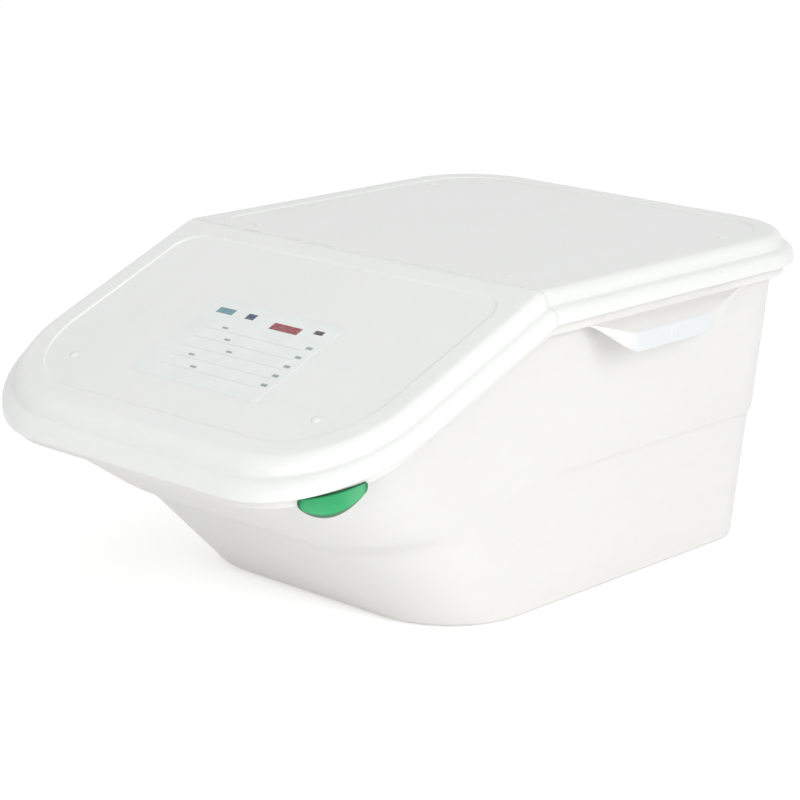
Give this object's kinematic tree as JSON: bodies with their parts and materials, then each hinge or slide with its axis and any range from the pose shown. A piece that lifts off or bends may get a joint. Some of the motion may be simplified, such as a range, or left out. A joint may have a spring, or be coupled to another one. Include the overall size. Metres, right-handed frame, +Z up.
{
  "type": "dry goods bin with flip lid",
  "caption": "Sloping-front rice bin with a flip lid, a folding front flap, moulded grip ledges and a green corner clip.",
  "frame": {"origin": "centre of the bounding box on the floor the bin stands on", "axes": "+Z up, -Y towards the sloping front, +X to the right of someone who faces the back from the front"},
  "size_m": [0.43, 0.6, 0.2684],
  "materials": {
    "tub_plastic": "satin",
    "lid_plastic": "satin",
    "web_plastic": "satin",
    "clip_plastic": "gloss",
    "label_film": "gloss"
  },
  "bodies": {
    "tub": {"tub": "tub_plastic"},
    "lid": {"rear_cover": "lid_plastic", "hinge_web": "web_plastic"},
    "flap": {"front_flap": "lid_plastic", "label": "label_film"},
    "clip": {"colour_clip": "clip_plastic"}
  },
  "joints": [
    {"name": "lid_lift", "type": "slide", "parent": "tub", "child": "lid", "axis": [0, 0, 1], "range_m": [0, 0.15]},
    {"name": "flap_hinge", "type": "hinge", "parent": "lid", "child": "flap", "pos_m": [0, -0.05891, 0.26767], "axis": [-1, 0, 0], "range_deg": [0, 178]},
    {"name": "clip_pull", "type": "slide", "parent": "tub", "child": "clip", "axis": [0, 0, -1], "range_m": [0, 0.025]}
  ]
}
